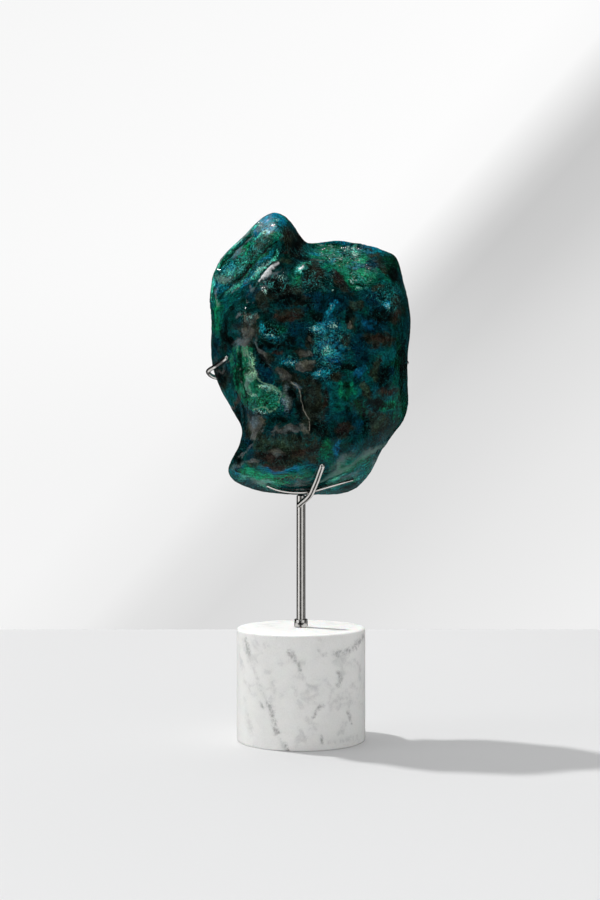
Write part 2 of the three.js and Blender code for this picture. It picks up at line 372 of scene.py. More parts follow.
steelCards = {                   # white cards that only the steel shows; those below level lie on the table
    "leftCard": {"bearing": -63, "above": 4, "away": 0.9, "size": (0.84, 0.6), "power": 1.6},
    "rightCard": {"bearing": 34, "above": 4, "away": 0.9, "size": (0.84, 0.6), "power": 1.2},
    "gapCard": {"bearing": -15, "above": 4, "away": 1.0, "size": (0.5, 0.6), "power": 0.09},
    "backCard": {"bearing": 125, "above": 4, "away": 0.9, "size": (1.4, 0.6), "power": 0.5},
    "topCard": {"bearing": -20, "above": 60, "away": 0.9, "size": (1.2, 0.8), "power": 2.4},
    "tableLeft": {"bearing": -90, "above": -30, "away": 0.49, "size": (0.6, 0.6), "power": 0.9},
    "tableRight": {"bearing": 90, "above": -36, "away": 0.417, "size": (0.6, 0.7), "power": 1.0},
    "tableFront": {"bearing": 0, "above": -31.5, "away": 0.469, "size": (0.6, 0.8), "power": 1.3},
}
lightAim = Vector((0.0, 0.0, 0.25))
ambient = {"colour": (0.985, 0.99, 1.0, 1.0), "soft": 0.60, "mirrored": 0.008, "seen": 0.80}


def addLight(label, light):
    turn, above = math.radians(light["bearing"]), math.radians(light["above"])
    way = Vector((math.sin(turn) * math.cos(above), -math.cos(turn) * math.cos(above), math.sin(above)))
    data = bpy.data.lights.new(label, "AREA")
    data.shape = "RECTANGLE"
    data.size, data.size_y = light["size"]
    data.energy = light["power"]
    lamp = bpy.data.objects.new(label, data)
    lamp.location = lightAim + way * light["away"]
    facing = Vector((0, 0, 1)) if above < 0 else -way
    lamp.rotation_euler = facing.to_track_quat("-Z", "Y").to_euler()
    lamp.visible_glossy = label not in notMirrored
    lamp.visible_diffuse = label not in onlyMirrored
    lamp.visible_camera = False
    scene.collection.objects.link(lamp)
    return lamp


lamps = {label: addLight(label, light) for label, light in lights.items()}
cards = {label: addLight(label, card) for label, card in steelCards.items()}

world = bpy.data.worlds.new("studio")
world.use_nodes = True
room = world.node_tree
ray = room.nodes.new("ShaderNodeLightPath").outputs
strength = wire(room, "ShaderNodeMix", {0: ray["Is Glossy Ray"], 2: ambient["soft"], 3: ambient["mirrored"]})
strength = wire(room, "ShaderNodeMix", {0: ray["Is Camera Ray"], 2: strength.outputs[0], 3: ambient["seen"]})
plug(room, room.nodes["Background"], {"Color": ambient["colour"], "Strength": strength.outputs[0]})
scene.world = world
scene.view_settings.view_transform = "Standard"
print("lights:", len(lights) + len(steelCards))


# polished steel for the post, the collar and the bent wires
steelLook = {"smear": (0.35, 5.0, 0.6), "tones": [(0.3, (200, 197, 192)), (0.7, (222, 220, 217))],
             "rough": 0.08, "roughSmear": 0.1}

def steelMaterial():
    material, tree, shader, at = newMaterial("polishedSteel")
    smear = grain(tree, at, *steelLook["smear"])
    rough = calc(tree, "MULTIPLY_ADD", smear, steelLook["roughSmear"], steelLook["rough"])
    feed(tree, shader, Base_Color=ramp(tree, smear, steelLook["tones"]), Roughness=rough, Metallic=1.0)
    return material


# white marble with thin grey veins; a grain has a scale to the millimetre, a detail and a roughness, and a
# drift has a scale, a reach in millimetres and a detail
marbleLook = {
    "drifts": ((0.018, 34.0, 4.0), (0.09, 6.0, 3.0)), "cloud": (0.07, 6.0, 0.62), "clouded": (0.38, 0.72),
    "tones": [(0.0, (249, 249, 246)), (0.55, (245, 245, 242)), (1.0, (226, 226, 224))],
    "bend": (0.5, 5.0, 0.65), "bent": 2.2, "patches": (0.3, 4.0, 0.7), "patchy": (0.38, 0.62, 0.15, 1.0),
    "veinEdge": (-0.7, 1.2), "crystal": (0.9, 4.0, 0.6), "crystals": (0.3, 0.7, 0.94, 1.0),
    "rough": (0.3, 0.7, 0.30, 0.42), "milky": 0.08, "milkyDepth": 2 * mm,
}

# veins as the camera sees them: points, then half width in picture pixels; clouds of them cover the back
veins = {
    "faintVein": {"colour": (192, 192, 191), "most": 0.42, "behind": 1.0, "seed": 16, "lines": [
        ([(276, 732), (281, 742), (288, 749)], 2.4),
        ([(330, 709), (333, 702), (338, 699), (346, 699), (352, 704)], 2.2),
        ([(273, 682), (274, 692), (270, 704)], 3.2), ([(292, 686), (296, 688), (297, 694)], 1.7),
        ([(243, 641), (250, 662), (259, 682), (266, 700)], 2.2), ([(313, 721), (315, 729)], 2.2),
        ([(328, 743), (345, 741), (356, 736)], 2.6), ([(352, 684), (358, 690)], 2.6),
        ([(300, 730), (306, 744)], 1.7), ([(355, 660), (360, 672)], 2.2),
        ([(299, 671), (306, 684), (318, 690)], 2.2), ([(340, 656), (352, 668)], 2.4),
        ([(249, 722), (252, 735)], 2.6), ([(325, 680), (333, 690), (330, 702)], 2.2),
        ([(344, 722), (338, 734)], 2.4)]},
    "boldVein": {"colour": (148, 148, 148), "most": 0.8, "behind": 0.6, "seed": 15, "lines": [
        ([(268, 704), (271, 709), (273, 718), (276, 732)], 2.8),
        ([(288, 652), (293, 658), (298, 663), (299, 671)], 2.2),
        ([(336, 655), (347, 651), (355, 646), (363, 637)], 2.8),
        ([(320, 650), (322, 654), (327, 655)], 1.9), ([(338, 672), (340, 680), (338, 686)], 2.6),
        ([(313, 717), (316, 712), (320, 707), (323, 706)], 1.9),
        ([(348, 712), (350, 718), (351, 724)], 1.9), ([(247, 640), (248, 645), (247, 652)], 2.2),
        ([(260, 703), (262, 707)], 2.2), ([(321, 738), (322, 746)], 1.9), ([(287, 745), (289, 750)], 2.2)]},
}
veinPlaces = {"facing": (0.05, 0.25), "wander": (90.0, 2.6, 3), "behindScale": 22.0, "behindThin": 7.0,
              "below": (0.6, 2.5)}       # in millimetres below the top, which has no veins


def marbleMaterial():
    material, tree, shader, at = newMaterial("whiteMarble")
    drift = at
    for step in marbleLook["drifts"]:
        drift = warped(tree, drift, *step)
    bend = evenGrain(tree, at, *marbleLook["bend"])
    patches = fade(tree, grain(tree, at, *marbleLook["patches"]), *marbleLook["patchy"])
    cloud = fade(tree, grain(tree, drift, *marbleLook["cloud"]), *marbleLook["clouded"])
    crystal = grain(tree, at, *marbleLook["crystal"])
    tone = ramp(tree, cloud, marbleLook["tones"])
    for label, vein in veins.items():
        ragged = calc(tree, "MULTIPLY_ADD", bend, marbleLook["bent"], drawn(tree, label))
        line = fade(tree, ragged, *marbleLook["veinEdge"], 0.0, vein["most"])
        tone = blendColour(tree, calc(tree, "MULTIPLY", line, patches), tone, paint(*vein["colour"]))
    tone = tinted(tree, tone, fade(tree, crystal, *marbleLook["crystals"]))
    feed(tree, shader, Base_Color=tone, Roughness=fade(tree, crystal, *marbleLook["rough"]),
         Subsurface_Weight=marbleLook["milky"], Subsurface_Scale=marbleLook["milkyDepth"])
    return material


steel = steelMaterial()
marble = marbleMaterial()
print("materials: steel and marble")


# turned parts: base, collar and post, each a profile spun about the upright axis
turned = {"baseSides": 240, "postSides": 64, "edgeSteps": 4, "topSteps": 8, "sharp": 35,
          "merge": 0.001 * mm, "weld": 0.0001 * mm}

def arc(centreX, centreZ, radius, start, end, count=turned["edgeSteps"]):
    angles = [math.radians(start + (end - start) * i / count) for i in range(count + 1)]
    return [(centreX + radius * math.cos(a), centreZ + radius * math.sin(a)) for a in angles]


def turnedPart(name, profile, sides, material):
    piece = newPiece(name, [(x * mm, 0, z * mm) for x, z in profile],
                     [(i, i + 1) for i in range(len(profile) - 1)])
    spin = piece.modifiers.new("spin", "SCREW")
    spin.axis = "Z"
    spin.angle = math.radians(360)
    spin.steps = spin.render_steps = sides
    spin.use_merge_vertices = True
    spin.merge_threshold = turned["merge"]
    bakeModifiers(piece)
    work = bmesh.new()
    work.from_mesh(piece.data)
    bmesh.ops.remove_doubles(work, verts=work.verts, dist=turned["weld"])
    bmesh.ops.recalc_face_normals(work, faces=work.faces)
    for face in work.faces:
        face.smooth = True
    work.to_mesh(piece.data)
    work.free()
    piece.data.set_sharp_from_angle(angle=math.radians(turned["sharp"]))
    piece.data.materials.append(material)
    return piece


base = {"radius": 50.0, "height": 87.0, "topEdge": 2.0, "footEdge": 1.0, "rings": 66,
        "socketDepth": 40.0, "socketRadius": 3.8}
socketFoot = base["height"] - base["socketDepth"]
wallTop = base["height"] - base["topEdge"]
baseProfile = [(0.0, socketFoot), (base["socketRadius"], socketFoot), (base["socketRadius"], base["height"])]
baseProfile += arc(base["radius"] - base["topEdge"], wallTop, base["topEdge"], 90, 0, turned["topSteps"])
wallRings = np.linspace(wallTop, base["footEdge"], base["rings"] + 1)[1:-1]
baseProfile += [(base["radius"], z) for z in wallRings.tolist()]
baseProfile += arc(base["radius"] - base["footEdge"], base["footEdge"], base["footEdge"], 0, -90)
baseProfile += [(0.0, 0.0)]
marbleBase = turnedPart("marble_block", baseProfile, turned["baseSides"], marble)

points, square = readPoints(marbleBase)
facing = softStep(*veinPlaces["facing"], square)
u, v = wander(points, *pictureOf(points), *veinPlaces["wander"])
onSide = softStep(*veinPlaces["below"], base["height"] - points[:, 2] / mm)
for label, vein in veins.items():
    level = np.abs(cloudField(points, veinPlaces["behindScale"], vein["seed"]))
    around = vein["behind"] - veinPlaces["behindThin"] * level       # thin lines where a cloud is level
    field = np.clip(around * (1 - facing) + lineField(u, v, vein["lines"]) * facing, -1, 1)
    keepField(marbleBase, label, field * onSide - (1 - onSide))
settle(marbleBase, "marble", "marble_base")
marbleBase.visible_glossy = False      # keeps the foot of the stone dark

post = {"radius": 3.5, "foot": 47.3, "top": 189.7, "edge": 0.5}
postProfile = [(0.0, post["foot"]), (post["radius"] - post["edge"], post["foot"]),
               (post["radius"], post["foot"] + post["edge"])]
postProfile += arc(post["radius"] - post["edge"], post["top"] - post["edge"], post["edge"], 0, 90)
postProfile += [(0.0, post["top"])]
upright = turnedPart("upright_post", postProfile, turned["postSides"], steel)
settle(upright, "steel", "post")

collar = {"radius": 5.2, "bore": 3.8, "height": 6.0, "edge": 0.6, "gap": 0.3}
collarFoot = base["height"] + collar["gap"]
collarTop = collarFoot + collar["height"]
edgeCentre = collar["radius"] - collar["edge"]
collarProfile = [(collar["bore"], collarFoot)]
collarProfile += arc(edgeCentre, collarFoot + collar["edge"], collar["edge"], -90, 0)
collarProfile += arc(edgeCentre, collarTop - collar["edge"], collar["edge"], 0, 90)
collarProfile += [(collar["bore"], collarTop), (collar["bore"], collarFoot)]
ring = turnedPart("post_collar", collarProfile, turned["postSides"], steel)
settle(ring, "steel", "collar")


# bent wires that hold the stone, each swept along its own route with round tips
# tipStart and tipLeast leave a small flat cap at the end of each tip
wires = {"step": 0.8, "sides": 24, "knotSteps": 24, "tipRings": 6, "tipStart": 0.25, "tipLeast": 0.0025}
wireParts = {
    "front_hook": {"node": "front_prong", "radius": 2.2, "route": [
        (-2.4, -5.4, 181.3), (1.2, -9.4, 184.8), (5, -14.4, 188.2), (7.8, -18.8, 191.8),
        (9.8, -23, 196.4), (12.2, -29.8, 202.4), (14.5, -38.4, 209.2), (16.3, -43.4, 214.4)]},
    "cradle_wire": {"node": "cradle_bar", "radius": 1.4, "route": [
        (-26.8, -20.8, 198.2), (-19.5, -17.2, 195), (-10, -15, 193), (0, -14, 192.6), (8, -13.8, 193.2),
        (15, -16.8, 195.1), (23, -20.2, 197.6), (31, -20.4, 200), (40.5, -17.4, 202.7)]},
    "back_rod": {"node": "back_stay", "radius": 2.5, "route": [
        (0, 6.4, 160), (0, 6.5, 169), (0, 10.4, 177), (0, 19, 183.4), (0, 27.6, 189), (0, 33, 197.4),
        (0, 35, 207), (0, 37, 215), (0, 41, 223.5), (0, 45.4, 232), (0, 47, 242), (0, 46.9, 256),
        (0, 46.8, 268), (0, 48.4, 279)]},
    "left_wire": {"node": "left_arm", "radius": 1.7, "route": [
        (-3.1, 46.2, 270.8), (-12, 42.6, 272), (-20, 39.4, 273.5), (-28, 36.2, 275), (-36, 32.6, 276.5),
        (-44, 30, 278), (-52, 27.6, 279.5), (-58, 25.9, 280.5), (-63, 23.3, 281.6), (-67, 19.8, 282.4),
        (-70.4, 14.6, 283.4), (-72.2, 9.6, 284.9), (-72.8, 5, 286.4), (-71.2, 0.6, 287.7),
        (-66.6, -5.4, 290), (-62.4, -14.2, 292), (-58.8, -23, 293.9), (-55.9, -28.8, 295.5)]},
    "right_wire": {"node": "right_arm", "radius": 1.7, "route": [
        (3.3, 47.3, 270.8), (14, 51.2, 273), (24, 53.1, 275.5), (34, 51.2, 278), (44, 46.4, 281),
        (54, 41.1, 284), (62, 36.7, 286.5), (70, 32.5, 289), (76, 29.1, 291.3), (81, 25.2, 293.2),
        (84.6, 18.5, 294.5)]},
}


def smoothRoute(points):         # a centripetal Catmull-Rom curve, and the length along it at each place
    knots = [np.array(p, float) for p in points]
    knots = [2 * knots[0] - knots[1]] + knots + [2 * knots[-1] - knots[-2]]
    line = []
    for a, b, c, d in zip(knots, knots[1:], knots[2:], knots[3:]):
        t1 = np.linalg.norm(b - a) ** 0.5
        t2 = t1 + np.linalg.norm(c - b) ** 0.5
        t3 = t2 + np.linalg.norm(d - c) ** 0.5
        for t in np.linspace(t1, t2, wires["knotSteps"], endpoint=False):
            ab = a * (t1 - t) / t1 + b * t / t1
            bc = b * (t2 - t) / (t2 - t1) + c * (t - t1) / (t2 - t1)
            cd = c * (t3 - t) / (t3 - t2) + d * (t - t2) / (t3 - t2)
            abc = ab * (t2 - t) / t2 + bc * t / t2
            bcd = bc * (t3 - t) / (t3 - t1) + cd * (t - t1) / (t3 - t1)
            line.append(abc * (t2 - t) / (t2 - t1) + bcd * (t - t1) / (t2 - t1))
    line = np.array(line + [knots[-2]])
    lengths = np.concatenate([[0], np.cumsum(np.linalg.norm(np.diff(line, axis=0), axis=1))])
    return lengths, line


def wireTree():
    tree, given = newTree("bentWire", {"Sides": int, "Finish": bpy.types.Material})
    curve = wire(tree, "GeometryNodeMeshToCurve", {0: given["Geometry"]}).outputs[0]
    circle = wire(tree, "GeometryNodeCurvePrimitiveCircle", {"Resolution": given["Sides"], "Radius": 1.0})
    tube = wire(tree, "GeometryNodeCurveToMesh", {"Curve": curve, "Profile Curve": circle.outputs[0],
                                                  "Scale": named(tree, "girth"), "Fill Caps": True})
    smooth = wire(tree, "GeometryNodeSetShadeSmooth", {0: tube.outputs[0]}).outputs[0]
    endTree(tree, smooth, given["Finish"])
    return tree


bentWire = wireTree()
for label, part in wireParts.items():
    radius = part["radius"]
    lengths, line = smoothRoute(part["route"])
    total = lengths[-1]
    dome = [radius * (1 - math.cos(math.radians(90 * (i + wires["tipStart"]) / wires["tipRings"])))
            for i in range(wires["tipRings"])]
    inner = np.linspace(radius, total - radius, int((total - 2 * radius) / wires["step"]) + 1)
    stations = np.concatenate([dome, inner, [total - d for d in reversed(dome)]])
    centres = np.stack([np.interp(stations, lengths, line[:, i]) for i in range(3)], axis=1)
    near = np.minimum(stations, total - stations)
    girths = radius * np.sqrt(np.clip(1 - np.clip(1 - near / radius, 0, 1) ** 2, wires["tipLeast"], 1))
    bent = newPiece(label, (centres * mm).tolist(), [(i, i + 1) for i in range(len(centres) - 1)])
    keepField(bent, "girth", girths * mm)
    bakeNodes(bent, bentWire, {"Sides": wires["sides"], "Finish": steel})
    settle(bent, "steel", part["node"])


# the stone; facing and fineFacing say how squarely a place has to face the camera, and what wanders has a
# scale, a reach in picture pixels and a seed
stone = {"levels": 2, "smoothing": 2, "weld": 0.001 * mm, "fineReach": 4.0, "fineFacing": 0.15,
         "facing": (0.02, 0.16), "wander": ((55.0, 4.0, 1), (190.0, 2.6, 11)), "lineWander": (150.0, 1.6, 21),
         "behindScale": 38.0, "behindReach": 1.1, "behindSeed": 31, "grainSeed": 21,
         "edgeScale": 90.0, "edgeReach": 0.3, "edgeSeed": 61}
fineAreas = [(257, 380, 32, 36), (306, 350, 46, 32)]         # the two busiest areas, as the marks below
fineLines = ("vein", "crack", "lip", "gleam", "rim")
chin = {"v": 471, "half": 15, "left": (228, 246), "right": (314, 298)}      # the front of the foot, in pixels

# the stone's colours: how softly each meets the next, how ragged its edge is, how much of the back it has
paints = {
    "teal": {"colour": (4, 66, 64), "soft": 0.45, "ragged": 2.4, "behind": 0.0},
    "green": {"colour": (4, 64, 50), "soft": 0.4, "ragged": 2.6, "behind": -0.1},
    "navy": {"colour": (1, 34, 44), "soft": 0.4, "ragged": 2.4, "behind": -0.05},
    "blue": {"colour": (6, 68, 90), "soft": 0.35, "ragged": 3.0, "behind": -0.3},
    "cyan": {"colour": (10, 104, 123), "soft": 0.35, "ragged": 3.4, "behind": -0.4},
    "leaf": {"colour": (8, 96, 66), "soft": 0.3, "ragged": 3.2, "behind": -0.35},
    "mint": {"colour": (52, 144, 126), "soft": 0.3, "ragged": 3.4, "behind": -0.6},
    # a pale sage, mostly painted reflections along the foot and the hem
    "sageAndSheen": {"colour": (52, 112, 97), "soft": 0.35, "ragged": 3.2, "behind": -0.8},
    "brown": {"colour": (27, 32, 26), "soft": 0.25, "ragged": 2.2, "behind": -0.1},
    "russet": {"colour": (35, 27, 22), "soft": 0.4, "ragged": 2.6, "behind": -0.4},
    "olive": {"colour": (34, 48, 38), "soft": 0.4, "ragged": 2.6, "behind": -0.35},
    "taupe": {"colour": (61, 60, 53), "soft": 0.25, "ragged": 1.8, "behind": -0.5},
    "mauve": {"colour": (72, 84, 86), "soft": 0.35, "ragged": 2.2, "behind": -0.7},
    "fern": {"colour": (16, 88, 62), "soft": 0.2, "ragged": 1.8, "behind": -0.45},
    "moss": {"colour": (2, 40, 26), "soft": 0.35, "ragged": 2.8, "behind": -0.3},
    "cream": {"colour": (106, 150, 120), "soft": 0.25, "ragged": 4.0, "behind": -0.9},
    # near black: the stone's dark patches, and painted shade
    "blackAndShade": {"colour": (2, 8, 8), "soft": 0.4, "ragged": 2.8, "behind": -0.25},
    # a painted soft highlight on the malachite
    "malachiteSheen": {"colour": (66, 124, 98), "soft": 0.6, "ragged": 0.9, "behind": -1.2},
}
fineEdged = ("mint", "sageAndSheen", "cream", "leaf", "cyan")      # colours that break up into specks

# marks as the camera sees them: u, v, half length, half width in picture pixels, and a tilt in degrees if any
marks = {
    "teal": [
        (360, 358, 9, 14), (275, 222, 14, 12), (240, 262, 44, 22, 46), (226, 289, 18, 10, 50),
        (345, 256, 52, 16, -8), (390, 288, 14, 9, -20), (360, 372, 12, 14, 90), (342, 394, 20, 16),
        (390, 404, 16, 8), (270, 470, 40, 6), (236, 474, 10, 8), (302, 446, 14, 8), (354, 474, 30, 8, 30),
        (230, 396, 10, 14, 60), (370, 478, 14, 10), (330, 330, 20, 16), (386, 356, 10, 12),
        (262, 362, 12, 5, -50), (274, 377, 12, 6, -40)],
    "green": [
        (347, 393, 9, 10), (268, 234, 18, 9), (337, 254, 24, 11), (366, 275, 22, 9), (218, 320, 6, 24),
        (296, 277, 8, 9), (327, 450, 9, 12), (285, 476, 32, 5), (276, 330, 9, 6), (400, 400, 7, 28),
        (366, 311, 7, 4), (250, 262, 26, 5, 46), (222, 262, 14, 5, 50), (252, 240, 16, 7, 46),
        (238, 262, 16, 4, 46), (350, 466, 24, 7, 28), (288, 452, 7, 6)],
    "navy": [
        (315, 300, 32, 9), (334, 303, 26, 10), (300, 333, 16, 12), (373, 304, 14, 12), (376, 326, 12, 7),
        (360, 356, 10, 26), (254, 294, 10, 6, 20), (216, 346, 6, 12), (268, 374, 16, 8, -50),
        (396, 371, 8, 3), (298, 253, 6, 7), (288, 402, 6, 14), (340, 253, 9, 4), (374, 263, 8, 7),
        (354, 424, 8, 12), (254, 412, 10, 4), (247, 440, 4, 22)],
    # blue patches; the one at 336, 241, along the plateau's top edge, is painted rim light
    "blue": [
        (332, 350, 13, 15), (330, 328, 10, 12), (320, 374, 13, 5), (240, 253, 6, 4, 40),
        (248, 248, 6, 4, 40), (257, 235, 4, 6, 30), (229, 270, 6, 5, 40), (219, 288, 5, 6),
        (366, 247, 8, 4, -20), (359, 266, 6, 4), (320, 295, 5, 3), (372, 324, 8, 4), (339, 448, 4, 8),
        (238, 473, 8, 5), (280, 468, 18, 3), (336, 241, 16, 2.5), (318, 374, 9, 4), (335, 362, 8, 4, -30),
        (359, 372, 5, 7), (275, 215, 5, 3)],
    # turquoise patches; the last three, along the plateau's top edge, are painted rim light
    "cyan": [
        (276, 214, 7, 3, 20), (270, 230, 10, 5), (222, 286, 6, 3, 50), (331, 354, 9, 7), (331, 328, 5, 7),
        (318, 331, 6, 4, 20), (320, 374, 10, 3, 8), (329, 262, 10, 3, -38), (268, 221, 7, 5, 25),
        (281, 221, 6, 5, -30), (316, 254, 6, 3, -20), (290, 362, 8, 3, 25), (262, 331, 3, 7),
        (270, 339, 8, 2.4), (331, 308, 8, 3, 60), (386, 305, 5, 3, 50), (250, 278, 12, 3, 40),
        (228, 288, 6, 4, 30), (228, 268, 8, 3, 50), (266, 256, 10, 2, 48), (322, 242, 10, 2.4, 4),
        (345, 241, 14, 2.4, -4), (372, 247, 12, 2.4, -20)],
    "leaf": [
        (222, 256, 15, 2, 52), (240, 238, 14, 1.8, 46), (256, 262, 16, 2, 46), (246, 250, 12, 3, 46),
        (236, 270, 12, 2.4, 46), (330, 251, 10, 5), (345, 262, 12, 5, -10), (364, 274, 12, 5),
        (298, 279, 4, 6), (276, 236, 7, 4), (326, 450, 5, 10), (262, 475, 10, 2.5), (288, 478, 12, 2, -6),
        (216, 316, 3, 16), (362, 258, 6, 4), (320, 246, 8, 4), (340, 270, 16, 6, -20), (320, 258, 10, 5),
        (352, 284, 10, 4), (341, 390, 2, 9, -8), (352, 391, 2, 8, 10), (390, 404, 12, 4),
        (262, 480, 22, 3, -4), (246, 472, 8, 4)],
    "mint": [
        (258, 273, 12, 2.4, 42), (272, 259, 8, 2.0, 50), (238, 283, 9, 2.0, 38), (216, 264, 13, 2.2, 62),
        (233, 245, 13, 2.2, 46), (250, 229, 10, 2.2, 42), (212, 288, 2, 10), (329, 352, 6, 4),
        (303, 267, 8, 2, 10), (354, 250, 3, 4), (240, 268, 8, 2, 46), (228, 290, 8, 2, 40),
        (262, 236, 7, 2, 44)],
    # painted pale reflections along the foot and the hem, and two pale patches on the left flank
    "sageAndSheen": [
        (267, 485, 11, 4.4), (247, 480, 9, 3, -20), (338, 476, 12, 2.2, 30), (345, 482, 14, 2.2, 14),
        (330, 484, 8, 2, 20), (228, 270, 8, 3, 46), (224, 279, 8, 4, 10)],
    # brown patches; the one at 222, 379 is painted shade where the left arm's shadow falls
    "brown": [
        (284, 290, 16, 8), (296, 300, 12, 5), (262, 296, 8, 6, 30), (292, 243, 19, 9, -58),
        (277, 289, 15, 12, 10), (316, 273, 11, 10, -30), (340, 281, 15, 6, -55), (290, 314, 14, 8, 10),
        (263, 303, 7, 9), (249, 328, 9, 18, 5), (395, 300, 6, 6), (378, 288, 6, 4), (384, 266, 4, 9, 30),
        (373, 254, 7, 3, -25), (355, 306, 9, 6, 10), (346, 339, 6, 7), (380, 339, 16, 7, 5),
        (376, 370, 5, 12), (312, 404, 15, 34, 4), (290, 380, 14, 9, -30), (269, 359, 10, 6, -40),
        (283, 448, 34, 17), (313, 452, 7, 14), (345, 430, 10, 9), (378, 424, 12, 14), (365, 390, 6, 8),
        (386, 390, 12, 4, -5), (222, 379, 10, 9), (337, 378, 8, 5), (395, 314, 8, 9), (351, 324, 6, 6),
        (256, 428, 12, 16), (306, 352, 10, 5), (306, 364, 11, 6), (309, 341, 5, 5)],
    "russet": [
        (268, 456, 20, 5), (302, 452, 10, 4), (288, 231, 4, 4), (285, 252, 4, 3), (336, 278, 9, 3, -55),
        (292, 316, 9, 5, 10), (396, 315, 5, 6), (379, 338, 12, 4), (325, 402, 3, 14),
        (386, 390, 8, 2.5, -5), (280, 353, 5, 1.6), (272, 465, 20, 2.6), (345, 428, 7, 6),
        (316, 270, 6, 4, -30), (281, 317, 6, 4)],
    "olive": [
        (261, 245, 11, 4, 45), (283, 262, 8, 3), (262, 448, 10, 4), (354, 305, 6, 4), (376, 372, 3, 8),
        (364, 390, 4, 6), (378, 420, 8, 8), (290, 479, 16, 1.5, -4), (280, 441, 18, 6), (252, 464, 9, 3)],
    "taupe": [
        (249, 317, 7, 6), (249, 331, 6, 8), (307, 352, 9, 3.6), (306, 364, 10, 4.6), (309, 340, 2.6, 3),
        (262, 352, 2.6, 9, 32), (284, 374, 8, 4, -35), (288, 429, 18, 4, 6), (276, 451, 12, 3),
        (252, 462, 9, 2), (256, 424, 7, 12), (317, 262, 8, 2, 4), (351, 325, 3, 3),
        (237, 398, 2.4, 12, -25), (305, 428, 4, 6, 30)],
    "mauve": [(286, 399, 5, 13, -6), (294, 384, 6, 2, -38), (255, 420, 4, 7)],
    "fern": [
        (242, 374, 30, 9, -80), (253, 384, 25, 9, -60), (266, 399, 17, 11, -8), (238, 354, 9, 10),
        (247, 352, 7, 5)],
    "moss": [
        (239, 370, 5, 18, 4), (236, 358, 3, 9), (347, 391, 4, 9), (360, 410, 5, 14, 25), (390, 404, 9, 3),
        (398, 355, 4, 26), (392, 262, 8, 12, 20), (404, 395, 3, 24)],
    # the malachite's pale edge; the small mark at 254, 396 is a painted highlight
    "cream": [
        (252, 366, 10, 4, -66), (270, 390, 8, 3, -30), (254, 396, 4.5, 1.6, -8), (266, 385, 6, 1.4, -30)],
    # dark patches of the stone, and painted shade on the peak's right face, in creases and hollows, under the
    # lip and where the left arm's shadow falls
    "blackAndShade": [
        (306, 302, 10, 4), (380, 318, 12, 7), (374, 402, 10, 7), (384, 376, 6, 10), (226, 336, 5, 15, 5),
        (219, 376, 9, 11, 20), (272, 346, 12, 5), (314, 282, 8, 5), (250, 242, 7, 2.4, 45),
        (259, 254, 7, 2.4, 45), (250, 267, 6, 2.4, 45), (298, 244, 5, 16, -32), (288, 297, 12, 5, 10),
        (230, 309, 4, 5), (290, 342, 6, 6), (300, 259, 12, 3, -10), (272, 286, 9, 8), (280, 420, 9, 3, -8),
        (270, 331, 6, 5), (292, 394, 5, 9), (236, 440, 4, 34), (402, 366, 4, 34), (394, 274, 6, 10, 20),
        (348, 316, 4, 7), (318, 428, 8, 8), (300, 408, 5, 14), (364, 420, 3, 12, 15),
        (346, 368, 10, 3, -10), (318, 316, 8, 6), (312, 336, 6, 2), (262, 360, 3, 10, 38),
        (264, 412, 10, 1.4), (285, 410, 1.6, 1.6)],
    # a painted soft highlight on the malachite
    "malachiteSheen": [(249, 381, 11, 2.4, -84)],
    "sheen": [     # painted soft reflections
        (259, 344, 9, 1.6, -62), (291, 430, 10, 1.8, 6), (222, 279, 8, 3.4, 10), (239, 252, 7, 3, 40),
        (249, 384, 10, 2.4, -84), (252, 292, 6, 2, 60), (256, 217, 10, 1.6, 42), (342, 464, 18, 4, 38),
        (346, 478, 16, 3, 20), (262, 484, 12, 4), (236, 466, 10, 2.4, 20), (368, 452, 16, 3, 34),
        (376, 462, 10, 3, 50)],
    "paintedGlints": [     # painted glints, as fine white dots
        (318, 243, 8, 3, -10), (331, 247, 6, 2.4, -20), (354, 252, 3.4, 8), (339, 259, 6, 2.4),
        (356, 260, 5, 2), (353, 279, 4.4, 3), (357, 286, 5, 1.6), (301, 269, 4, 1.6),
        (332, 290, 2.4, 1.4, 40), (275, 219, 5, 3), (312, 242, 6, 3), (346, 246, 3, 5), (319, 373, 3, 3),
        (328, 351, 8, 6), (333, 326, 5, 6), (316, 331, 6, 5), (291, 362, 8, 2.4, 25), (268, 338, 8, 2.6),
        (266, 386, 8, 4, -35), (254, 397, 5, 2.6), (262, 410, 10, 2), (280, 278, 6, 4), (266, 289, 6, 4),
        (249, 317, 5, 4), (386, 306, 4, 3, 50), (262, 268, 14, 3, 46), (331, 308, 7, 2, 60)],
    "streak": [(241, 263, 46, 18, 46), (226, 290, 22, 10, 60)],     # slanting grain on the left flank
    "grainUp": [(398, 370, 16, 66), (230, 400, 10, 22)],     # upright grain on both sides
    "level": [(290, 474, 60, 12), (352, 470, 44, 12, 28)],     # grain along the foot
    "fleck": [     # where the stone is lively
        (337, 254, 34, 13), (358, 279, 12, 8), (271, 232, 15, 10), (330, 346, 17, 26), (320, 374, 14, 6),
        (320, 330, 12, 9), (270, 333, 14, 10), (291, 361, 10, 5, 20), (262, 268, 22, 6, 46),
        (268, 389, 10, 5, -30), (264, 405, 16, 8), (386, 296, 16, 14), (278, 284, 14, 8), (249, 316, 8, 6),
        (303, 268, 8, 5), (312, 280, 22, 12), (252, 366, 8, 6, -66), (240, 262, 36, 16, 46)],
    "crust": [     # where the skin is crusty
        (345, 262, 50, 22, -8), (273, 228, 18, 16), (330, 346, 18, 28), (272, 333, 14, 10),
        (276, 284, 18, 14, -20), (250, 262, 30, 12, 46), (268, 396, 16, 14)],
}
# how much of the back the marks that aren't colours have
behindGrain = {"paintedGlints": -0.5, "sheen": -1.2, "streak": -0.4, "grainUp": 0.05, "level": -0.3, "fleck": -0.3,
               "crust": -0.1}

